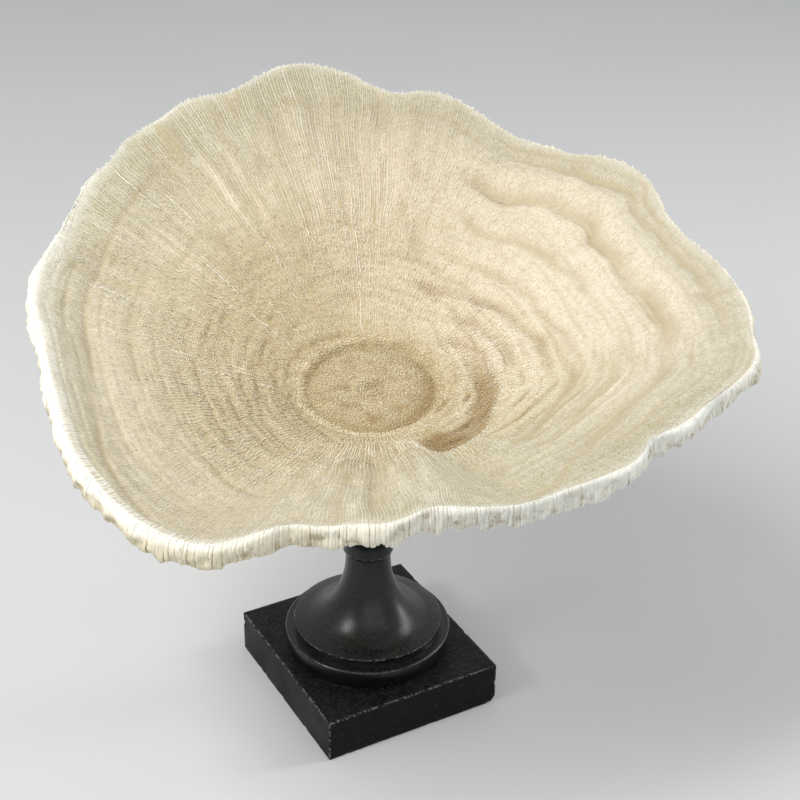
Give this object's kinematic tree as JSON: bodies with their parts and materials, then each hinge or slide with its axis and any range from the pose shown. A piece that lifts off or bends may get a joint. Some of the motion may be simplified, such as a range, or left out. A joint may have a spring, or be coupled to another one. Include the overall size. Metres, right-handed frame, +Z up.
{
  "type": "mounted cup coral",
  "caption": "Tilted cup coral skeleton with growth ledges and a toothed rim, pinned by its short stalk to a turned black wood socle on a square plinth.",
  "frame": {"origin": "centre of the plinth's flat underside, on the surface it stands on", "axes": "+Z up; +X along the plinth's shorter side, to the right of a viewer at its front; +Y towards the back, where the coral's rim is highest"},
  "size_m": [0.3314, 0.3215, 0.29],
  "materials": {
    "coral": "matte, finely toothed",
    "socle": "ebonised, satin wax polish",
    "plinth": "ebonised, worn satin",
    "pin": "plain drawn steel"
  },
  "bodies": {
    "root": {"coral": "coral", "socle": "socle", "plinth": "plinth", "pin": "pin"}
  },
  "joints": []
}
